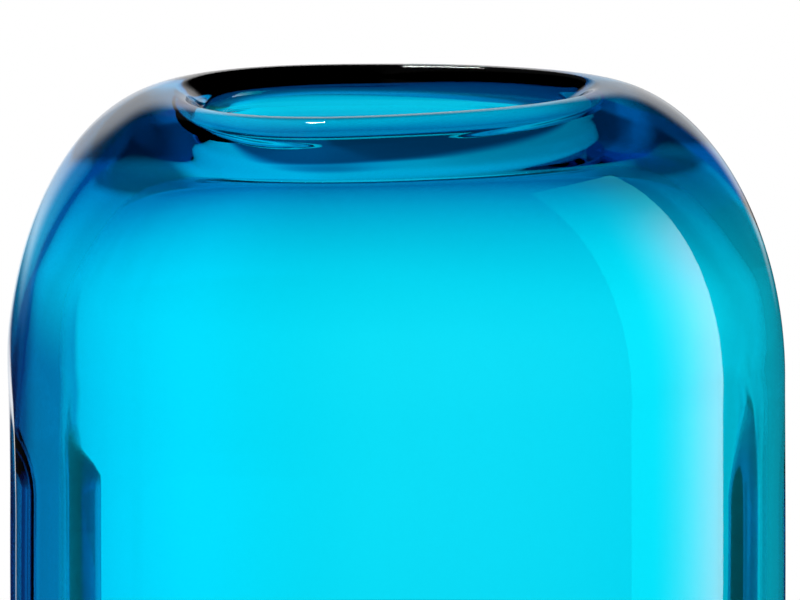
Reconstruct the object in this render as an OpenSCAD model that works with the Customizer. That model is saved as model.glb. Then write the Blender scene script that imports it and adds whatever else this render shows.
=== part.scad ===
// Thick-walled, mouth-blown glass vase with an oblong body, domed shoulders,
// an oval lip and an upright pinch in the middle of each narrow side. A pinch
// is a shallow dent outside and a deeper ridge inside the hollow.
//
// The wall is two gathers of the same glass, one round the other:
//   outer_layer   the second gather: outside of the body, lip and heavy foot
//   inner_layer   the first gather, the blown bubble that lines the hollow
// They meet face to face on one shared surface, from the crest of the lip to
// the floor. The part stands on the flat ring of its foot at z = 0, with the
// broad side facing -Y and the narrow sides on X. Lengths are millimetres.

/* [Body] */
// Height from the table to the crest of the lip
body_h = 230; // [200:1:260]
// Length across the broad side, at the middle of the body
body_w = 173; // [150:1:190]
// Depth across the narrow side
body_d = 116; // [100:1:130]
// Height of the domed shoulder
shoulder_h = 65; // [50:1:80]
// How far the body swells on each side between shoulder and foot
belly = 0.8; // [0:0.1:3]
// Squareness of the outline of the body, 2 is an ellipse
body_power = 2.47; // [2:0.05:3]

/* [Mouth] */
// Length of the oval along the crest of the lip
mouth_w = 94; // [80:1:110]
// Depth of the oval along the crest of the lip
mouth_d = 58; // [48:1:75]
// Squareness of the oval of the lip
mouth_power = 2.3; // [2:0.1:3]
// Shift of the mouth towards the -X side
mouth_shift_x = 1.3; // [0:0.1:4]
// Shift of the mouth towards the back
mouth_shift_y = 3; // [0:0.1:5]
// Share by which the -X end of the oval is deeper than its middle
mouth_egg_share = 0.2; // [0:0.02:0.3]
// How far the rounded lip reaches into the mouth
lip_reach = 7; // [3:0.1:9]
// Depth under the crest at which the lip runs out into the hollow
lip_h = 9.8; // [8:0.1:16]

/* [Wall] */
// Thickness of the whole wall below the shoulder, on the broad sides
wall_t = 4.2; // [3.5:0.1:8]
// Thickness of the whole wall at the narrow ends
wall_end_t = 6.7; // [6:0.1:11]
// Shift of the hollow towards the +X side, which makes the -X end thicker
hollow_shift_x = 2.5; // [0:0.1:3]
// How much thicker the neck is at the narrow ends than on the broad sides
end_fill = 5.5; // [0:0.1:9]
// How near to the mouth that thicker glass lies, 1 is half way to the wall
fill_power = 0.42; // [0.3:0.01:1]
// Squareness of the outline of the hollow, 2 is an ellipse
hollow_power = 2.4; // [2:0.05:3]
// Thickness of the inner layer
layer_t = 1.5; // [1:0.1:2.5]
// Depth under the crest at which the wall of the hollow is upright
hollow_h = 56; // [50:1:80]
// Thickness of the glass at the middle of the floor
base_t = 20; // [14:1:30]
// Height of the rounding between the wall and the floor of the hollow
floor_round_h = 24; // [15:1:35]
// Share of the hollow's half width that this rounding takes
floor_share = 0.5; // [0.3:0.05:0.7]

/* [Pinches] */
// Depth of the dent outside, in the -X side
dent_left = 3; // [0:0.1:8]
// Depth of the dent outside, in the +X side
dent_right = 1.5; // [0:0.1:8]
// Half width of a dent
dent_w = 10; // [6:0.5:18]
// Height at which the -X dent begins, above the table
dent_left_top = 180; // [150:1:205]
// Height at which the +X dent begins, above the table
dent_right_top = 180; // [150:1:205]
// Height over which a dent grows to its depth
dent_grow = 44; // [20:1:90]
// Depth of the ridge inside, at the -X side
ridge_left = 9; // [0:0.1:14]
// Depth of the ridge inside, at the +X side
ridge_right = 6; // [0:0.1:14]
// Half width of a ridge
ridge_w = 9; // [6:0.5:18]
// Height at which the -X ridge begins, above the table
ridge_left_top = 157; // [140:1:185]
// Height at which the +X ridge begins, above the table
ridge_right_top = 164; // [140:1:185]
// Height over which the -X ridge grows to its depth
ridge_left_grow = 12; // [10:1:50]
// Height over which the +X ridge grows to its depth
ridge_right_grow = 30; // [14:1:50]
// Shift of both pinches towards the front
pinch_shift_y = -2; // [-4:0.5:8]
// Height over which a pinch runs out above the foot
pinch_fade = 60; // [30:1:70]
// Height at which both pinches have run out
pinch_end = 40; // [35:1:60]

/* [Foot] */
// Height of the rounding between the wall and the foot
foot_round_h = 30; // [15:1:40]
// Share of the half width that this rounding takes
foot_round_share = 0.3; // [0.15:0.05:0.45]
// Share of the half width at which the flat ring of the foot ends
dish_share = 0.42; // [0.3:0.02:0.6]
// Depth of the ground hollow inside the flat ring
dish_h = 2.5; // [1:0.1:4]

/* [Hidden] */
// Points round each outline
around = 72;
// Degrees by which the points crowd towards the pinches
crowd = 12.9;
// Stations down the shoulder, as shares of a quarter turn
shoulder_shares = [0.07, 0.15, 0.24, 0.34, 0.45, 0.57, 0.7, 0.84];
// Stations down the wall, as shares of its height
wall_shares = [0, 0.06, 0.12, 0.18, 0.24, 0.3, 0.37, 0.45, 0.54, 0.64, 0.74, 0.84, 0.93, 1];
// Stations round a bottom corner, as shares of a quarter turn
corner_shares = [0.2, 0.4, 0.6, 0.8, 1];
// Points of the lip's inside, as shares of its reach and of its height
lip_shares = [[0, 0], [0.36, 0.07], [0.71, 0.25], [1, 0.415], [0.92, 0.66], [0.385, 0.84]];
// Points of the thick neck's inside, as shares of the way out to the wall and down to it
neck_shares = [[0.06, 0], [0.265, 0.045], [0.435, 0.1], [0.6, 0.225], [0.78, 0.445], [0.93, 0.7], [1, 1]];
// Stations between two such points, in the hollow and in the seam between the layers
hollow_steps = [0, 0.5];
seam_steps = [0];
// Stations down the hollow's wall, as shares of its height
hollow_shares = [
    0.046, 0.092, 0.131, 0.154, 0.177, 0.2, 0.223, 0.26, 0.315, 0.385, 0.477, 0.585, 0.71, 0.83, 0.92, 1
];
// Stations across the ground hollow, as shares of its half width
dish_shares = [0.35, 0.65, 1];
// Step of the slope that gives the direction square to the crest
slope_turn = 0.2;
// Heights at which the dome ends and the foot rounding begins
dome_z = body_h - shoulder_h;
wall_drop = dome_z - foot_round_h;
// Way out from the crest to the hollow's wall, and how much longer it is at the ends
step_out = body_d / 2 - belly - wall_t - mouth_d / 2;
step_longer = (body_w - mouth_w - body_d + mouth_d) / 2 - (wall_end_t - wall_t);
// Depths of the neck, and of the point at which the hollow rounds in to its floor
neck_drop = hollow_h - lip_h;
floor_depth = body_h - base_t - floor_round_h;
quarter = 90;
half_turn = 180;
turns = [for (i = [0 : around - 1]) 360 * i / around];
bearings = [for (u = turns) u - crowd * sin(2 * u)];
glass_outer = [0.0, 0.68, 0.88, 0.55];
glass_inner = [0.0, 0.52, 0.8, 0.75];

// Smooth step from 0 to 1
function ease(x) = x <= 0 ? 0 : x >= 1 ? 1 : x * x * (3 - 2 * x);

// Distance of an outline from its middle at bearing t
function reach(a, b, power, t) =
    pow(pow(abs(cos(t)) / a, power) + pow(abs(sin(t)) / b, power), -1 / power);

// Height of the outside at station s: 0 crest, 1 end of the dome, 2 foot rounding
function out_z(s) =
    s <= 1 ? dome_z + shoulder_h * cos(quarter * s) : dome_z - wall_drop * (s - 1);

// Share of the way from the mouth to the body at station s
function spread(s) = s >= 1 ? 1 : sin(quarter * s);

// Swell of the body at station s
function swell(s) = s <= 1 ? 0 : belly * sin(half_turn * (s - 1));

// Dents outside and ridges inside: half width, then depth, top and growth of the -X and +X one
dents = [dent_w, dent_left, dent_right, dent_left_top, dent_right_top, dent_grow, dent_grow];
ridges = [
    ridge_w, ridge_left, ridge_right, ridge_left_top, ridge_right_top,
    ridge_left_grow, ridge_right_grow
];

// How far a pinch presses in at y across a narrow side and height z: side is 0 for -X, 1 for +X
function press(pinch, side, y, z) =
    pinch[1 + side] * ease((pinch[3 + side] - z) / pinch[5 + side])
    * ease((z - pinch_end) / pinch_fade) * exp(-pow((y + pinch_shift_y) / pinch[0], 2));

// Point of the form at bearing t, on the outline with half length a and half depth b, at
// share w of the way from the mouth to the body and height z, with the pinches pressed in
function form_point(a, b, w, z, power, pinch, t) =
    let (
        r = reach(a, b, mouth_power + (power - mouth_power) * w, t),
        x = r * cos(t),
        y = r * sin(t) * (1 - mouth_egg_share * (1 - w) * x / a),
        dent = x > 0 ? -press(pinch, 1, y, z) : press(pinch, 0, y, z)
    )
    [x + dent - mouth_shift_x * (1 - w), y + mouth_shift_y * (1 - w), z];

// Point of the outside at station s and bearing t
function out_point(s, t) =
    let (
        w = spread(s),
        a = mouth_w / 2 + (body_w / 2 - belly - mouth_w / 2) * w + swell(s),
        b = mouth_d / 2 + (body_d / 2 - belly - mouth_d / 2) * w + swell(s)
    )
    form_point(a, b, w, out_z(s), body_power, dents, t);

// Level direction square to the crest at bearing t
function crest_square(t) =
    let (
        d = out_point(0, t + slope_turn) - out_point(0, t - slope_turn),
        c = [d.y, -d.x, 0]
    )
    c / norm(c);

// Smooth curve through four points, between the middle two at share k, and its slope
function between(a, b, c, d, k) =
    (2 * b + (c - a) * k + (2 * a - 5 * b + 4 * c - d) * k * k + (3 * b - a - 3 * c + d) * k * k * k) / 2;
function slope(a, b, c, d, k) =
    (c - a + 2 * (2 * a - 5 * b + 4 * c - d) * k + 3 * (3 * b - a - 3 * c + d) * k * k) / 2;

// Profile of the inside: way out from the crest and depth under it, with trim taken off
// the wall. The trim grows from nothing at the crest.
knots = concat(
    [for (p = lip_shares) [-p[0] * lip_reach, p[1] * lip_h]],
    [for (p = neck_shares) [p[0] * step_out, lip_h + p[1] * neck_drop]]
);
knot_end = knots[len(knots) - 1];
rail = concat(
    [[-knots[1][0], knots[1][1]]],
    knots,
    [[knot_end[0], knot_end[1] + neck_drop / 3]]
);
function trimmed(i, k, trim) =
    let (
        p = between(rail[i], rail[i + 1], rail[i + 2], rail[i + 3], k),
        d = slope(rail[i], rail[i + 1], rail[i + 2], rail[i + 3], k),
        grow = ease((i + k) / 3)
    )
    p + trim * grow * [d[1], -d[0]] / norm(d);

// Point of the inside at bearing t, from the way out, the depth and the swell of the wall
function in_point(out, depth, more, t) =
    let (w = min(out / step_out, 1))
    out < 0
    ? out_point(0, t) + out * crest_square(t) - [0, 0, depth]
    : [hollow_shift_x * w, 0, 0] + form_point(
        mouth_w / 2 + out + step_longer * ease(w) - end_fill * sin(half_turn * pow(w, fill_power)) + more,
        mouth_d / 2 + out + more,
        w, body_h - depth, hollow_power, ridges, t
    );

// Point round a bottom corner: p leaves the wall, k is the share of a quarter turn
function corner_point(p, k, share, floor_z) =
    let (m = 1 - share * (1 - cos(quarter * k)))
    [p.x * m, p.y * m, p.z - (p.z - floor_z) * sin(quarter * k)];

// Rings of the outside, from the middle of the foot up to the crest
foot_rings = [
    for (k = dish_shares)
        [for (t = bearings) let (p = out_point(2, t)) [
            p.x * dish_share * k,
            p.y * dish_share * k,
            dish_h * (1 - k * k)
        ]]
];
foot_corner_rings = [
    for (i = [len(corner_shares) - 1 : -1 : 0])
        [for (t = bearings) corner_point(out_point(2, t), corner_shares[i], foot_round_share, 0)]
];
wall_rings = [
    for (i = [len(wall_shares) - 1 : -1 : 0])
        [for (t = bearings) out_point(1 + wall_shares[i], t)]
];
dome_rings = [
    for (i = [len(shoulder_shares) - 1 : -1 : 0])
        [for (t = bearings) out_point(shoulder_shares[i], t)]
];
crest_ring = [for (t = bearings) out_point(0, t)];
outside = concat(foot_rings, foot_corner_rings, wall_rings, dome_rings, [crest_ring]);

// Rings that run from under the crest down to the floor, with trim taken off the wall
function down_rings(steps, trim, floor_z) =
    let (
        end = knot_end + [trim, 0],
        last = [for (t = bearings) in_point(end[0], floor_depth, 0, t)]
    )
    concat(
        [for (i = [0 : len(knots) - 2]) for (k = steps) if (i + k > 0)
            let (p = trimmed(i, k, trim))
            [for (t = bearings) in_point(p[0], p[1], 0, t)]],
        [[for (t = bearings) in_point(end[0], end[1], 0, t)]],
        [for (k = hollow_shares)
            [for (t = bearings)
                in_point(end[0], end[1] + (floor_depth - end[1]) * k, belly * sin(half_turn * k), t)]],
        [for (k = corner_shares) [for (p = last) corner_point(p, k, floor_share, floor_z)]]
    );
seam = down_rings(seam_steps, layer_t, base_t - layer_t);
hollow = down_rings(hollow_steps, 0, base_t);

// Closed skin over a row of rings, with one middle point at each end
module skin(rings, first, last, inward) {
    count = len(rings);
    points = concat([first], [for (ring = rings) for (p = ring) p], [last]);
    end = len(points) - 1;
    faces = concat(
        [for (i = [0 : around - 1]) [0, 1 + (i + 1) % around, 1 + i]],
        [for (k = [0 : count - 2]) for (i = [0 : around - 1])
            let (a = 1 + k * around, b = a + around, j = (i + 1) % around)
            [a + i, a + j, b + i]],
        [for (k = [0 : count - 2]) for (i = [0 : around - 1])
            let (a = 1 + k * around, b = a + around, j = (i + 1) % around)
            [a + j, b + j, b + i]],
        [for (i = [0 : around - 1])
            let (a = 1 + (count - 1) * around)
            [end, a + i, a + (i + 1) % around]]
    );
    turned = [for (f = faces) [f[2], f[1], f[0]]];
    polyhedron(points = points, faces = inward ? faces : turned, convexity = 6);
}

// Second gather: outside, lip and heavy foot, down to the seam with the bubble
module outer_layer() {
    color(glass_outer)
        skin(
            concat(outside, seam),
            [0, 0, dish_h],
            [0, 0, base_t - layer_t],
            false
        );
}

// First gather: the bubble that lines the hollow, from the lip to the floor
module inner_layer() {
    color(glass_inner)
        skin(
            concat([for (i = [len(hollow) - 1 : -1 : 0]) hollow[i]], [crest_ring], seam),
            [0, 0, base_t],
            [0, 0, base_t - layer_t],
            true
        );
}

outer_layer();
inner_layer();
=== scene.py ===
"""Mouth-blown, thick-walled turquoise glass vase on a pale table.

The vase is one fused body of two gathers of glass, coloured in the mass. Its
outside, lip, hollow and floor are one smooth closed skin. All lengths are
metres, +Z is up, and the foot stands at z = 0 with the broad side facing -Y.
"""

import logging
import math
from dataclasses import dataclass, field
from enum import Enum

import bpy
import numpy as np
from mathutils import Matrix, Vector


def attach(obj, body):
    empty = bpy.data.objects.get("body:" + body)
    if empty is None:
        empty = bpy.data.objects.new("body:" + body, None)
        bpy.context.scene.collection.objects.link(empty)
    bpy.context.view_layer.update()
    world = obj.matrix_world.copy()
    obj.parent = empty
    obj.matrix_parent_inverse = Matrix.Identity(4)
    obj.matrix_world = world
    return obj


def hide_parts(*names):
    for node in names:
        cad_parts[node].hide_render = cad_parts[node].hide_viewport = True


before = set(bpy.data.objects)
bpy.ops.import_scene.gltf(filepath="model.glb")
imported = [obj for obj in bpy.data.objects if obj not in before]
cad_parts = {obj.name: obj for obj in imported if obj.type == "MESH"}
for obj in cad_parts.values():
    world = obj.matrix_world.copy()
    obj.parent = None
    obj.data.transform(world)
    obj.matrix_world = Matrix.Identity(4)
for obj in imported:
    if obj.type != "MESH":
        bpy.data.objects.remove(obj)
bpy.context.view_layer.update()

log = logging.getLogger("vase")

Color = tuple[float, float, float]
Span = tuple[float, float]
Shares = tuple[tuple[float, float], ...]
Socket = bpy.types.NodeSocket
Source = Socket | float | Color

MM = 0.001
RIGHT_ANGLE = 0.5 * math.pi
BOUNCES = 11
WHITE: Color = (1.0, 1.0, 1.0)
FALL: Span = (1.0, 0.0)


def ease(x: np.ndarray) -> np.ndarray:
    """Smooth step from 0 to 1.

    Args:
        x: Values to step.

    Returns:
        The stepped values, flat below 0 and above 1.
    """
    x = np.clip(x, 0.0, 1.0)
    return x * x * (3.0 - 2.0 * x)


def unit(v: np.ndarray) -> np.ndarray:
    """Vectors of length one, along the last axis."""
    return v / np.linalg.norm(v, axis=-1, keepdims=True)


@dataclass(frozen=True)
class Pinch:
    """One pair of upright pinches, pressed into the two narrow sides."""

    left: float
    right: float
    half_w: float
    left_top: float
    right_top: float
    left_grow: float
    right_grow: float

    def press(self, x: np.ndarray, y: np.ndarray, z: float) -> np.ndarray:
        """Presses the pair into a ring.

        Args:
            x: Length of each point of the ring.
            y: Depth of each point, from the middle of the pinch.
            z: Height of the ring.

        Returns:
            How far each point moves along X.
        """
        right = self.right * ease(np.array((self.right_top - z) / self.right_grow))
        left = self.left * ease(np.array((self.left_top - z) / self.left_grow))
        return np.where(x > 0.0, -right, left) * np.exp(-((y / self.half_w) ** 2))


@dataclass
class VaseForm:
    """Sizes of the blown form, and the surfaces that follow from them."""

    # Body and shoulders
    body_h: float = 230 * MM
    body_w: float = 173 * MM
    body_d: float = 116 * MM
    shoulder_h: float = 65 * MM
    belly: float = 0.8 * MM
    body_power: float = 2.47

    # Mouth, a little egg-shaped and off the middle
    mouth_w: float = 94 * MM
    mouth_d: float = 58 * MM
    mouth_power: float = 2.3
    mouth_shift_x: float = 1.3 * MM
    mouth_shift_y: float = 3 * MM
    mouth_egg_share: float = 0.2

    # Wall, thicker at the narrow ends, and the hollow, which lies a little to the right
    wall_t: float = 4.2 * MM
    wall_end_t: float = 6.7 * MM
    hollow_power: float = 2.4
    hollow_shift_x: float = 2.5 * MM
    end_fill: float = 5.5 * MM
    fill_power: float = 0.42

    # Rolled lip and thick neck: way out from the crest and depth under it, down to the upright wall
    lip_reach: float = 7 * MM
    lip_h: float = 9.8 * MM
    hollow_h: float = 56 * MM
    lip_shares: Shares = (
        (0.0, 0.0), (0.36, 0.07), (0.71, 0.25), (1.0, 0.415), (0.92, 0.66), (0.385, 0.84),
    )
    neck_shares: Shares = (
        (0.06, 0.0), (0.265, 0.045), (0.435, 0.1), (0.6, 0.225), (0.78, 0.445), (0.93, 0.7), (1.0, 1.0),
    )
    run_on_share: float = 1 / 3

    # Pinches: shallow dents outside and deeper ridges in the hollow
    dent: Pinch = Pinch(
        left=3 * MM, right=1.5 * MM, half_w=10 * MM,
        left_top=180 * MM, right_top=180 * MM, left_grow=44 * MM, right_grow=44 * MM,
    )
    ridge: Pinch = Pinch(
        left=9 * MM, right=6 * MM, half_w=9 * MM,
        left_top=157 * MM, right_top=164 * MM, left_grow=12 * MM, right_grow=30 * MM,
    )
    pinch_shift_y: float = -2 * MM
    pinch_fade: float = 60 * MM
    pinch_end: float = 40 * MM

    # Floor of the hollow and ground foot
    base_t: float = 20 * MM
    floor_round_h: float = 24 * MM
    floor_round_share: float = 0.5
    floor_ring_shares: tuple[float, ...] = (0.75, 0.5, 0.25)
    foot_round_h: float = 30 * MM
    foot_round_share: float = 0.3
    dish_share: float = 0.42
    dish_start: float = 0.12
    dish_h: float = 2.5 * MM

    # Points round each ring, closer together at the narrow ends, and rings along the skin
    around: int = 288
    crowd: float = 0.1
    dish_rings: int = 9
    corner_rings: int = 14
    wall_rings: int = 56
    dome_rings: int = 56
    profile_fine: int = 8
    hollow_rings: int = 51

    # Keeps the smooth skin inside the faceted solids
    draw_in: float = 0.9994

    turns: np.ndarray = field(init=False)

    def __post_init__(self) -> None:
        """Sets the bearings of the points round each outline."""
        u = np.arange(self.around) * 2.0 * math.pi / self.around
        self.turns = u - self.crowd * np.sin(2.0 * u)

    @property
    def dome_z(self) -> float:
        """Height at which the dome of the shoulder meets the wall."""
        return self.body_h - self.shoulder_h

    @property
    def hollow_step(self) -> float:
        """How much farther out the wall of the hollow lies than the crest, on the broad sides."""
        return 0.5 * self.body_d - self.belly - self.wall_t - 0.5 * self.mouth_d

    def outline(self, a: float, b: float, w: float, z: float, square: float, pinch: Pinch) -> np.ndarray:
        """Ring of the form at one height.

        Args:
            a: Half length of the outline.
            b: Half depth of the outline.
            w: Share of the way from the outline of the mouth to that of the body.
            z: Height of the ring.
            square: Power of the outline of the body there.
            pinch: The pair of pinches that shows there.

        Returns:
            The points of the ring, with the pinches pressed in.
        """
        power = self.mouth_power + (square - self.mouth_power) * w
        c, n = np.cos(self.turns), np.sin(self.turns)
        r = ((np.abs(c) / a) ** power + (np.abs(n) / b) ** power) ** (-1.0 / power)
        x, y = r * c, r * n
        y = y * (1.0 - self.mouth_egg_share * (1.0 - w) * x / a)
        above_foot = ease(np.array((z - self.pinch_end) / self.pinch_fade))
        x = x + pinch.press(x, y + self.pinch_shift_y, z) * above_foot
        x = x - self.mouth_shift_x * (1.0 - w)
        y = y + self.mouth_shift_y * (1.0 - w)
        return np.stack([x, y, np.full_like(x, z)], axis=-1)

    def out_ring(self, s: float) -> np.ndarray:
        """Ring of the outside.

        Args:
            s: Station: 0 at the crest, 1 at the end of the dome, 2 at the foot rounding.

        Returns:
            The ring.
        """
        w = 1.0 if s >= 1.0 else math.sin(RIGHT_ANGLE * s)
        swell = 0.0 if s <= 1.0 else self.belly * math.sin(math.pi * (s - 1.0))
        a = 0.5 * self.mouth_w + (0.5 * self.body_w - self.belly - 0.5 * self.mouth_w) * w + swell
        b = 0.5 * self.mouth_d + (0.5 * self.body_d - self.belly - 0.5 * self.mouth_d) * w + swell
        if s <= 1.0:
            z = self.dome_z + self.shoulder_h * math.cos(RIGHT_ANGLE * s)
        else:
            z = self.dome_z - (self.dome_z - self.foot_round_h) * (s - 1.0)
        return self.outline(a, b, w, z, self.body_power, self.dent)

    def profile(self) -> np.ndarray:
        """Smooth profile of the inside, from the crest down to the upright wall.

        Returns:
            Rows of the way out from the crest and the depth under it.
        """
        knots = [(-x * self.lip_reach, y * self.lip_h) for x, y in self.lip_shares]
        drop = self.hollow_h - self.lip_h
        knots += [(x * self.hollow_step, self.lip_h + y * drop) for x, y in self.neck_shares]
        p = np.array(knots)
        before = p[1] * np.array([-1.0, 1.0])
        after = p[-1] + np.array([0.0, self.run_on_share * drop])
        p = np.concatenate([[before], p, [after]])
        t = np.arange(self.profile_fine)[:, None] / self.profile_fine
        rows = []
        for a, b, c, d in zip(p[:-3], p[1:-2], p[2:-1], p[3:]):
            squared = (2 * a - 5 * b + 4 * c - d) * t**2
            cubed = (3 * b - a - 3 * c + d) * t**3
            rows.append(0.5 * (2 * b + (c - a) * t + squared + cubed))
        return np.concatenate(rows + [p[-2:-1]])

    def in_ring(self, out: float, depth: float, swell: float = 0.0) -> np.ndarray:
        """Ring of the inside.

        Args:
            out: Way out from the crest, less than zero inside the mouth.
            depth: Depth under the crest.
            swell: Swell of the wall there.

        Returns:
            The ring.
        """
        if out < 0.0:
            # Inside the mouth, the crest moves in square to itself
            crest = self.out_ring(0.0)
            ahead = np.roll(crest, -1, axis=0) - np.roll(crest, 1, axis=0)
            ring = crest + out * unit(np.stack([ahead[:, 1], -ahead[:, 0], np.zeros(len(ahead))], axis=-1))
            ring[:, 2] -= depth
            return ring
        w = min(out / self.hollow_step, 1.0)
        thicker = self.wall_end_t - self.wall_t
        longer = 0.5 * (self.body_w - self.mouth_w - self.body_d + self.mouth_d) - thicker
        a = 0.5 * self.mouth_w + out + longer * float(ease(np.array(w))) + swell
        a -= self.end_fill * math.sin(math.pi * w**self.fill_power)
        b = 0.5 * self.mouth_d + out + swell
        ring = self.outline(a, b, w, self.body_h - depth, self.hollow_power, self.ridge)
        ring[:, 0] += self.hollow_shift_x * w
        return ring

    @staticmethod
    def corner_ring(start: np.ndarray, k: float, share: float, floor_z: float) -> np.ndarray:
        """Ring round a bottom corner.

        Args:
            start: Ring at which the wall ends.
            k: Share of the quarter turn.
            share: Share of the half width that the corner takes.
            floor_z: Height of the floor that the corner runs in to.

        Returns:
            The ring.
        """
        m = 1.0 - share * (1.0 - math.cos(RIGHT_ANGLE * k))
        z = start[:, 2] - (start[:, 2] - floor_z) * math.sin(RIGHT_ANGLE * k)
        return np.stack([start[:, 0] * m, start[:, 1] * m, z], axis=-1)

    def outside(self) -> list[np.ndarray]:
        """Lofts the outside.

        Returns:
            Its rings, from the middle of the foot up to the crest.
        """
        end = self.out_ring(2.0)
        rings = []
        for k in np.linspace(self.dish_start, 1.0, self.dish_rings):
            dish = end * np.array([self.dish_share * k, self.dish_share * k, 0.0])
            dish[:, 2] = self.dish_h * (1.0 - k * k)
            rings.append(dish)
        for k in np.linspace(1.0, 1 / self.corner_rings, self.corner_rings):
            rings.append(self.corner_ring(end, k, self.foot_round_share, 0.0))
        rings += [self.out_ring(s) for s in np.linspace(2.0, 1.0, self.wall_rings)]
        rings += [self.out_ring(s) for s in np.linspace(1.0, 0.0, self.dome_rings + 1)[1:]]
        return rings

    def inside(self) -> list[np.ndarray]:
        """Lofts the inside.

        Returns:
            Its rings, from the crest over the lip and down the hollow to the middle of its floor.
        """
        profile = self.profile()
        rings = [self.in_ring(out, depth) for out, depth in profile[1:]]
        out, depth = profile[-1]
        wall_end = self.body_h - self.base_t - self.floor_round_h
        for k in np.linspace(0.0, 1.0, self.hollow_rings + 1)[1:]:
            swell = self.belly * math.sin(math.pi * k)
            rings.append(self.in_ring(out, depth + (wall_end - depth) * k, swell))
        end = rings[-1]
        for k in np.linspace(0.0, 1.0, self.corner_rings + 1)[1:]:
            rings.append(self.corner_ring(end, k, self.floor_round_share, self.base_t))
        edge = rings[-1]
        rings += [edge * np.array([k, k, 1.0]) for k in self.floor_ring_shares]
        return rings


def closed_skin(name: str, rings: list[np.ndarray], first_z: float, last_z: float) -> bpy.types.Object:
    """Closed smooth mesh over a row of rings, with a middle point at each end.

    Args:
        name: Name of the piece.
        rings: Rings of points, all with the same count.
        first_z: Height of the middle point before the first ring.
        last_z: Height of the middle point after the last ring.

    Returns:
        The piece, linked to the scene.
    """
    n, m = len(rings), len(rings[0])
    verts = np.concatenate([[[0.0, 0.0, first_z]], np.concatenate(rings), [[0.0, 0.0, last_z]]])
    pairs = [(i, (i + 1) % m) for i in range(m)]
    faces: list[tuple[int, ...]] = [(0, 1 + q, 1 + p) for p, q in pairs]
    for k in range(n - 1):
        a, b = 1 + k * m, 1 + (k + 1) * m
        faces += [(a + p, a + q, b + q, b + p) for p, q in pairs]
    last = 1 + (n - 1) * m
    faces += [(last + p, last + q, len(verts) - 1) for p, q in pairs]
    mesh = bpy.data.meshes.new(name)
    mesh.from_pydata(verts.tolist(), [], faces)
    mesh.update()
    mesh.shade_smooth()
    piece = bpy.data.objects.new(name, mesh)
    bpy.context.scene.collection.objects.link(piece)
    return piece


@dataclass(frozen=True)
class Grain:
    """Size and roughness of a soft noise in a skin."""

    scale: float
    detail: float


class Mixed(Enum):
    """What a Mix node mixes, with the places of its factor, first, second and result sockets."""

    VALUE = ("FLOAT", 0, 2, 3, 0)
    COLOR = ("RGBA", 0, 6, 7, 2)


class Nodes:
    """Adds, sets and joins the nodes of one tree."""

    def __init__(self, tree: bpy.types.NodeTree) -> None:
        """Keeps the tree."""
        self.tree = tree

    def add(self, kind: str, **values: str) -> bpy.types.Node:
        """Adds a node.

        Args:
            kind: Kind of the node.
            values: Properties to set on it.

        Returns:
            The node.
        """
        node = self.tree.nodes.new(kind)
        for name, value in values.items():
            setattr(node, name, value)
        return node

    def put(self, source: Source, target: Socket) -> None:
        """Links a socket to another, or sets a number or a colour on it.

        Args:
            source: What goes in.
            target: Socket that takes it.
        """
        if isinstance(source, Socket):
            self.tree.links.new(source, target)
        elif target.type == "RGBA":
            target.default_value = (*source, 1.0)
        else:
            target.default_value = source

    def math(self, operation: str, a: Source, b: Source = 0.0) -> Socket:
        """Works out a value.

        Args:
            operation: Operation of the Math node.
            a: First value.
            b: Second value.

        Returns:
            The result.
        """
        node = self.add("ShaderNodeMath", operation=operation)
        self.put(a, node.inputs[0])
        self.put(b, node.inputs[1])
        return node.outputs[0]

    def product(self, *factors: Source) -> Socket:
        """Multiplies values.

        Args:
            factors: The values.

        Returns:
            Their product.
        """
        result = factors[0]
        for factor in factors[1:]:
            result = self.math("MULTIPLY", result, factor)
        return result

    def step(self, value: Source, span: Span, ends: tuple[Source, Source] = (0.0, 1.0)) -> Socket:
        """Smooth step of a value.

        Args:
            value: The value.
            span: Where the step starts and ends.
            ends: Result at the start and at the end of the span.

        Returns:
            The stepped value.
        """
        node = self.add("ShaderNodeMapRange", interpolation_type="SMOOTHSTEP")
        names = ("Value", "From Min", "From Max", "To Min", "To Max")
        for name, source in zip(names, (value, *span, *ends)):
            self.put(source, node.inputs[name])
        return node.outputs[0]

    def mix(self, kind: Mixed, share: Source, first: Source, second: Source) -> Socket:
        """Mixes two values or two colours.

        Args:
            kind: What is mixed.
            share: Share of the second.
            first: First value or colour.
            second: Second value or colour.

        Returns:
            The mixed value or colour.
        """
        data_type, share_at, first_at, second_at, result_at = kind.value
        node = self.add("ShaderNodeMix", data_type=data_type)
        self.put(share, node.inputs[share_at])
        self.put(first, node.inputs[first_at])
        self.put(second, node.inputs[second_at])
        return node.outputs[result_at]

    def noise(self, place: Socket, grain: Grain) -> Socket:
        """Soft noise over the piece.

        Args:
            place: Where on the piece.
            grain: The kind of noise.

        Returns:
            The noise.
        """
        node = self.add("ShaderNodeTexNoise")
        self.put(place, node.inputs["Vector"])
        self.put(grain.scale, node.inputs["Scale"])
        self.put(grain.detail, node.inputs["Detail"])
        return node.outputs[0]


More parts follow.
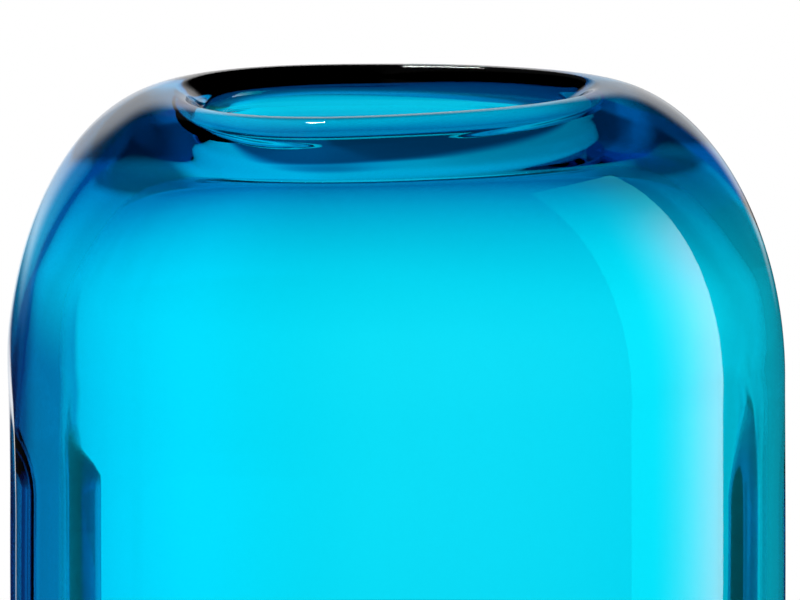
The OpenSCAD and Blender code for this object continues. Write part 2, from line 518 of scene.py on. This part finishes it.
@dataclass(frozen=True)
class TurquoiseGlass:
    """Clear blown glass, coloured in the mass, with the soft waves of a hand-blown skin.

    The skin's colour has soft streaks of its own, and carries painted shade that stands in for the deeper
    tint of long ways of the light through the glass: towards the neck, at the two ends of the shoulder and
    on the narrow sides.
    """

    # Glass in the mass
    name: str = "turquoise_glass"
    tint: Color = (0.0, 0.9486, 0.9764)
    density: float = 700.0
    ior: float = 1.5

    # Waves and streaks, drawn out upright, and the haze of wiping
    drawn_share: float = 0.35
    waves: Grain = Grain(22.0, 1.5)
    wave_h: float = 0.05 * MM
    wipes: Grain = Grain(60.0, 4.0)
    wiped: Span = (0.5, 0.8)
    haze: float = 0.012
    streaks: Grain = Grain(9.0, 2.0)
    streaked: Span = (0.35, 0.65)
    clear_shade: Color = (0.97, 0.965, 0.995)
    streak_shade: Color = (0.92, 0.935, 0.985)

    # Painted shade: a deeper blue over the upper body, towards the neck
    painted_neck_shade: Color = (0.1, 0.2, 0.5)
    neck_rise: Span = (185 * MM, 226 * MM)
    neck_end: Span = (217.5 * MM, 221 * MM)
    painted_neck_shade_depth: Span = (0.85, 0.3)

    # Painted shade, near black, at the two ends of the shoulder, above a line that sinks away from the
    # middle
    painted_end_shade: Color = (0.02, 0.02, 0.035)
    end_in: Span = (48 * MM, 55 * MM)
    end_low: Span = (214.5 * MM, 217.5 * MM)
    end_tilt: float = 0.2
    painted_end_shade_depth: float = 0.95

    # Painted shade on the narrow sides: the middle of the left one, and the pinched ridge of the right one
    painted_side_shade: Color = (0.03, 0.05, 0.22)
    painted_side_shade_depth: float = 0.9
    left_in: Span = (-82 * MM, -78 * MM)
    left_wide: Span = (18 * MM, 25 * MM)
    left_top: Span = (172 * MM, 205 * MM)
    ridge_in: Span = (69 * MM, 72 * MM)
    ridge_out: Span = (82.5 * MM, 83.5 * MM)
    ridge_wide: Span = (7 * MM, 11 * MM)
    ridge_top: Span = (145 * MM, 168 * MM)

    def streaks_and_painted_shade(self, n: Nodes, place: Socket, drawn: Socket) -> Socket:
        """Tint of the skin: its own streaks, with painted shade over them.

        Args:
            n: Nodes of the glass.
            place: Where on the vase.
            drawn: The same, drawn out upright.

        Returns:
            The tint.
        """
        parts = n.add("ShaderNodeSeparateXYZ")
        n.put(place, parts.inputs[0])
        x, y, z = parts.outputs
        off_x, off_y = n.math("ABSOLUTE", x), n.math("ABSOLUTE", y)
        streaks = n.step(n.noise(drawn, self.streaks), self.streaked)
        tint = n.mix(Mixed.COLOR, streaks, self.clear_shade, self.streak_shade)
        # Painted shade: a deeper blue rising over the upper body towards the neck
        rise = n.step(z, self.neck_rise)
        neck = n.product(rise, rise, n.step(z, self.neck_end, self.painted_neck_shade_depth))
        tint = n.mix(Mixed.COLOR, neck, tint, self.painted_neck_shade)
        # Painted shade: near black over the two ends of the shoulder
        above = n.math("SUBTRACT", z, n.math("MULTIPLY", off_y, self.end_tilt))
        ends = n.product(n.step(off_x, self.end_in, (0.0, self.painted_end_shade_depth)), n.step(above, self.end_low))
        tint = n.mix(Mixed.COLOR, ends, tint, self.painted_end_shade)
        # Painted shade: darker in the middle of the left narrow side and on the right pinched ridge
        left = n.product(
            n.step(x, self.left_in, FALL),
            n.step(off_y, self.left_wide, (self.painted_side_shade_depth, 0.0)),
            n.step(z, self.left_top, FALL),
        )
        right = n.product(
            n.step(x, self.ridge_in),
            n.step(x, self.ridge_out, FALL),
            n.step(off_y, self.ridge_wide, (self.painted_side_shade_depth, 0.0)),
            n.step(z, self.ridge_top, FALL),
        )
        return n.mix(Mixed.COLOR, n.math("ADD", left, right), tint, self.painted_side_shade)

    def material(self) -> bpy.types.Material:
        """Builds the glass.

        Returns:
            The material.
        """
        mat = bpy.data.materials.new(self.name)
        mat.use_nodes = True
        n = Nodes(mat.node_tree)
        shader = n.tree.nodes["Principled BSDF"]
        n.put(self.ior, shader.inputs["IOR"])
        n.put(1.0, shader.inputs["Transmission Weight"])
        place = n.add("ShaderNodeTexCoord").outputs["Object"]
        draw = n.add("ShaderNodeMapping")
        n.put(place, draw.inputs["Vector"])
        n.put((1.0, 1.0, self.drawn_share), draw.inputs["Scale"])
        drawn = draw.outputs[0]
        bump = n.add("ShaderNodeBump")
        n.put(n.noise(drawn, self.waves), bump.inputs["Height"])
        n.put(self.wave_h, bump.inputs["Distance"])
        n.put(bump.outputs[0], shader.inputs["Normal"])
        haze = n.step(n.noise(place, self.wipes), self.wiped, (0.0, self.haze))
        n.put(haze, shader.inputs["Roughness"])
        # Base colour: the glass's own streaks, with painted shade
        n.put(self.streaks_and_painted_shade(n, place, drawn), shader.inputs["Base Color"])
        volume = n.add("ShaderNodeVolumeAbsorption")
        n.put(self.tint, volume.inputs["Color"])
        n.put(self.density, volume.inputs["Density"])
        n.put(volume.outputs["Volume"], n.tree.nodes["Material Output"].inputs["Volume"])
        return mat


@dataclass
class BlownVase:
    """The vase itself."""

    form: VaseForm = field(default_factory=VaseForm)
    glass: TurquoiseGlass = TurquoiseGlass()

    def build(self) -> list[bpy.types.Object]:
        """Builds and dresses the glass.

        Returns:
            The pieces of the vase.
        """
        f = self.form
        rings = [ring * np.array([f.draw_in, f.draw_in, 1.0]) for ring in f.outside() + f.inside()]
        body = closed_skin("blown_glass_body", rings, f.dish_h, f.base_t)
        body.data.materials.append(self.glass.material())
        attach(body, "root")
        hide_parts("outer_layer", "inner_layer")
        return [body]


@dataclass(frozen=True)
class RoomLight:
    """Light of the room, by the direction in which a ray leaves the vase.

    Through the glass, a bright sheet shows behind the vase, up to a sloping
    edge, with a dim and bluish room above it. The glass mirrors a narrow
    upright strip straight behind the vase, and a low and wider band there.
    """

    # Keeps the level part of a direction off zero straight up and down
    level_square: float = 1.0001

    # Sheet behind the vase, and the room above it
    sheet: Span = (0.84, 0.95)
    sheet_side_glow: float = 0.85
    sheet_glow: float = 1.17
    edge_slope: float = 0.78
    edge: Span = (-0.12, 0.12)
    room_rise: Span = (0.15, 0.55)
    room_low_glow: float = 1.0
    room_glow: float = 0.28
    room_color: Color = (0.45, 0.56, 1.0)
    left_turn: Span = (-0.02, 0.09)
    left_gain: float = 1.2
    right_turn: Span = (0.2, 0.34)
    right_loss: float = 0.6

    # Mirrored strip and band
    strip: Span = (0.988, 0.998)
    strip_side_glow: float = 0.01
    strip_top: Span = (0.05, 0.3)
    strip_top_glow: float = 0.03
    band_foot: Span = (-0.17, -0.08)
    band_glow: float = 0.8
    band_top: Span = (0.22, 0.4)
    band_wide: Span = (0.8, 0.9)
    band_left: Span = (-0.42, -0.2)
    band_left_glow: float = 0.1

    def build(self) -> None:
        """Sets the world."""
        world = bpy.data.worlds.new("studio")
        bpy.context.scene.world = world
        world.use_nodes = True
        n = Nodes(world.node_tree)
        n.tree.nodes.clear()
        out = n.add("ShaderNodeOutputWorld")
        back = n.add("ShaderNodeBackground")
        n.put(back.outputs[0], out.inputs[0])
        parts = n.add("ShaderNodeSeparateXYZ")
        n.put(n.add("ShaderNodeTexCoord").outputs["Generated"], parts.inputs[0])
        x, y, z = parts.outputs
        level = n.math("SQRT", n.math("SUBTRACT", self.level_square, n.math("MULTIPLY", z, z)))
        behind = n.math("DIVIDE", y, level)
        aside = n.math("DIVIDE", x, level)
        past_edge = n.math("SUBTRACT", y, n.math("MULTIPLY", z, self.edge_slope))
        room_glow = n.step(z, self.room_rise, (self.room_low_glow, self.room_glow))
        through = n.product(
            n.step(behind, self.sheet, (self.sheet_side_glow, 1.0)),
            n.step(past_edge, self.edge, (room_glow, self.sheet_glow)),
            n.step(x, self.left_turn, (self.left_gain, 1.0)),
            n.step(aside, self.right_turn, (1.0, self.right_loss)),
        )
        strip = n.product(
            n.step(behind, self.strip, (self.strip_side_glow, 1.0)),
            n.step(z, self.strip_top, (1.0, self.strip_top_glow)),
        )
        band = n.product(
            n.step(z, self.band_foot, (0.0, self.band_glow)),
            n.step(z, self.band_top, FALL),
            n.step(behind, self.band_wide),
            n.step(aside, self.band_left, (self.band_left_glow, 1.0)),
        )
        path = n.add("ShaderNodeLightPath").outputs
        mirrored = n.math("MAXIMUM", strip, band)
        in_glass = n.mix(Mixed.VALUE, path["Is Transmission Ray"], mirrored, through)
        n.put(n.mix(Mixed.VALUE, path["Is Camera Ray"], in_glass, 1.0), back.inputs["Strength"])
        plain = n.math("MAXIMUM", n.step(past_edge, self.edge), n.step(z, self.room_rise, FALL))
        plain = n.math("MAXIMUM", plain, n.math("SUBTRACT", 1.0, path["Is Transmission Ray"]))
        n.put(n.mix(Mixed.COLOR, plain, self.room_color, WHITE), back.inputs["Color"])


@dataclass(frozen=True)
class PaleTop:
    """Matt pale finish that fades to plain white, and glows softly through the glass, dimmer near the vase
    as a painted shadow.
    """

    name: str = "pale_table"
    color: Color = (0.9, 0.9, 0.9)
    roughness: float = 0.6
    fade: Span = (0.12, 0.36)
    fade_start: float = 0.35
    # Painted shadow: the glow seen through the glass is dimmer near the vase
    under: Span = (0.23, 0.39)
    painted_shadow_glow: float = 0.45

    def material(self) -> bpy.types.Material:
        """Builds the finish.

        Returns:
            The material.
        """
        mat = bpy.data.materials.new(self.name)
        mat.use_nodes = True
        n = Nodes(mat.node_tree)
        shader = n.tree.nodes["Principled BSDF"]
        n.put(self.color, shader.inputs["Base Color"])
        n.put(self.roughness, shader.inputs["Roughness"])
        n.put(0.0, shader.inputs["Specular IOR Level"])
        glow = n.add("ShaderNodeEmission")
        path = n.add("ShaderNodeLightPath").outputs
        length = n.add("ShaderNodeVectorMath", operation="LENGTH")
        n.put(n.add("ShaderNodeTexCoord").outputs["Object"], length.inputs[0])
        far = length.outputs["Value"]
        # Painted shadow: weaker glow near the vase, seen only through the glass
        under = n.step(far, self.under, (self.painted_shadow_glow, 1.0))
        n.put(n.math("MAXIMUM", path["Is Camera Ray"], under), glow.inputs["Strength"])
        plain = n.product(path["Is Camera Ray"], n.step(far, self.fade, (self.fade_start, 1.0)))
        mix = n.add("ShaderNodeMixShader")
        n.put(n.math("MAXIMUM", plain, path["Is Transmission Ray"]), mix.inputs["Fac"])
        n.put(shader.outputs[0], mix.inputs[1])
        n.put(glow.outputs[0], mix.inputs[2])
        n.put(mix.outputs[0], n.tree.nodes["Material Output"].inputs["Surface"])
        return mat


@dataclass(frozen=True)
class TableTop:
    """Round table top under the vase."""

    radius: float = 0.42
    sides: int = 96
    finish: PaleTop = PaleTop()

    def build(self) -> None:
        """Lays the table top."""
        turns = [2 * math.pi * i / self.sides for i in range(self.sides)]
        rim = [(self.radius * math.cos(turn), self.radius * math.sin(turn), 0.0) for turn in turns]
        faces = [(0, 1 + i, 1 + (i + 1) % self.sides) for i in range(self.sides)]
        mesh = bpy.data.meshes.new("table_top")
        mesh.from_pydata([(0.0, 0.0, 0.0), *rim], [], faces)
        top = bpy.data.objects.new("table_top", mesh)
        bpy.context.scene.collection.objects.link(top)
        mesh.materials.append(self.finish.material())


class LampUse(Enum):
    """What a lamp is for: the glass mirrors it, or it lights the table."""

    MIRRORED = "mirrored"
    LIGHTING = "lighting"


@dataclass(frozen=True)
class Lamp:
    """White rectangular lamp with an even front.

    Its turn is in degrees from the front towards +X, and its rise in degrees
    over its base height. A mirrored lamp faces level, a lighting one down.
    """

    name: str
    turn: float
    rise: float
    distance: float
    base_z: float
    size: Span
    radiance: float
    use: LampUse

    def hang(self) -> bpy.types.Object:
        """Hangs the lamp.

        Returns:
            The lamp.
        """
        data = bpy.data.lights.new(self.name, "AREA")
        data.shape = "RECTANGLE"
        data.size, data.size_y = self.size
        data.energy = self.radiance * math.pi * self.size[0] * self.size[1]
        turn, rise = math.radians(self.turn), math.radians(self.rise)
        inward = Vector((-math.sin(turn), math.cos(turn), 0.0))
        out = self.distance * math.cos(rise)
        lamp = bpy.data.objects.new(self.name, data)
        lamp.location = -out * inward
        lamp.location.z = self.base_z + self.distance * math.sin(rise)
        if self.use is LampUse.MIRRORED:
            lamp.rotation_euler = inward.to_track_quat("-Z", "Y").to_euler()
        lamp.visible_camera = False
        lamp.visible_transmission = False
        lamp.visible_diffuse = self.use is LampUse.LIGHTING
        lamp.visible_glossy = self.use is LampUse.MIRRORED
        bpy.context.scene.collection.objects.link(lamp)
        return lamp


@dataclass(frozen=True)
class RightSoftBox:
    """Tall soft box that the right shoulder mirrors, brighter and whiter across its front."""

    turn: float = 59.5
    wide: float = 37.0
    distance: float = 1.2
    middle_z: float = 0.75
    height: float = 1.9
    glow: Span = (2.3, 6.2)
    top: Span = (0.5, 0.95)
    top_glow: float = 0.45
    dim_color: Color = (0.0, 1.0, 0.9)
    bright_color: Color = (0.85, 1.0, 1.0)
    bright_across: Span = (0.15, 1.0)
    bright_up: Span = (0.4, 0.75)
    bright_top_share: float = 0.1

    def build(self) -> None:
        """Hangs the soft box, and grades its front, which then carries its strength."""
        width = 2.0 * self.distance * math.tan(0.5 * math.radians(self.wide))
        box = Lamp(
            name="right_soft_box", turn=self.turn, rise=0.0, distance=self.distance, base_z=self.middle_z,
            size=(width, self.height), radiance=1.0, use=LampUse.MIRRORED,
        )
        lamp = box.hang()
        lamp.data.use_nodes = True
        n = Nodes(lamp.data.node_tree)
        parts = n.add("ShaderNodeSeparateXYZ")
        n.put(n.add("ShaderNodeNewGeometry").outputs["Parametric"], parts.inputs[0])
        across, up = parts.outputs[0], parts.outputs[1]
        glow = n.tree.nodes["Emission"]
        strength = n.product(
            n.step(across, (0.0, 1.0), self.glow),
            n.step(up, self.top, (1.0, self.top_glow)),
        )
        n.put(strength, glow.inputs["Strength"])
        bright = n.product(
            n.step(across, self.bright_across),
            n.step(up, self.bright_up, (1.0, self.bright_top_share)),
        )
        n.put(n.mix(Mixed.COLOR, bright, self.dim_color, self.bright_color), glow.inputs["Color"])


@dataclass(frozen=True)
class PhotoView:
    """Camera at the angle and with the crop of the photograph."""

    aim_z: float = 0.230
    distance: float = 1.5
    yaw: float = 7.56
    pitch: float = 10.98
    px_per_mm: float = 4.581
    photo_px: Span = (800.0, 600.0)
    aim_px: Span = (395.7, 91.4)
    sensor: float = 36.0
    clip_end: float = 50.0

    def build(self) -> None:
        """Places the camera."""
        yaw, pitch = math.radians(self.yaw), math.radians(self.pitch)
        level = math.cos(pitch)
        ahead = Vector((math.sin(yaw) * level, math.cos(yaw) * level, -math.sin(pitch)))
        right = ahead.cross(Vector((0, 0, 1))).normalized()
        up = right.cross(ahead)
        focal_px = self.px_per_mm * self.distance / MM
        right_px = 0.5 * self.photo_px[0] - self.aim_px[0]
        down_px = 0.5 * self.photo_px[1] - self.aim_px[1]
        data = bpy.data.cameras.new("camera")
        data.sensor_width = self.sensor
        data.lens = focal_px * self.sensor / self.photo_px[0]
        data.clip_end = self.clip_end
        camera = bpy.data.objects.new("camera", data)
        camera.location = Vector((0, 0, self.aim_z)) - ahead * self.distance
        look = ahead + right * right_px / focal_px - up * down_px / focal_px
        camera.rotation_euler = look.to_track_quat("-Z", "Y").to_euler()
        bpy.context.scene.collection.objects.link(camera)
        bpy.context.scene.camera = camera


@dataclass(frozen=True)
class Studio:
    """Room light, table top, lamps and camera."""

    room: RoomLight = RoomLight()
    table_top: TableTop = TableTop()
    soft_box: RightSoftBox = RightSoftBox()
    back_lamp: Lamp = Lamp(
        name="small_back_lamp", turn=173.7, rise=40.0, distance=1.5, base_z=0.22,
        size=(0.03, 0.03), radiance=110.0, use=LampUse.MIRRORED,
    )
    overhead: Lamp = Lamp(
        name="overhead_soft_box", turn=0.0, rise=90.0, distance=1.6, base_z=0.0,
        size=(1.2, 1.2), radiance=6.5, use=LampUse.LIGHTING,
    )
    view: PhotoView = PhotoView()

    def build(self) -> None:
        """Builds the whole studio."""
        self.room.build()
        self.table_top.build()
        self.soft_box.build()
        self.back_lamp.hang()
        self.overhead.hang()
        self.view.build()


def main() -> None:
    """Builds the vase and its studio."""
    logging.basicConfig(level=logging.INFO, format="%(name)s: %(message)s")
    for piece in BlownVase().build():
        log.info("%s: %d faces", piece.name, len(piece.data.polygons))
    Studio().build()
    scene = bpy.context.scene
    scene.view_settings.view_transform = "Standard"
    scene.cycles.max_bounces = BOUNCES
    scene.cycles.transmission_bounces = BOUNCES
    scene.cycles.glossy_bounces = BOUNCES
    bpy.context.view_layer.update()


if __name__ == "__main__":
    main()
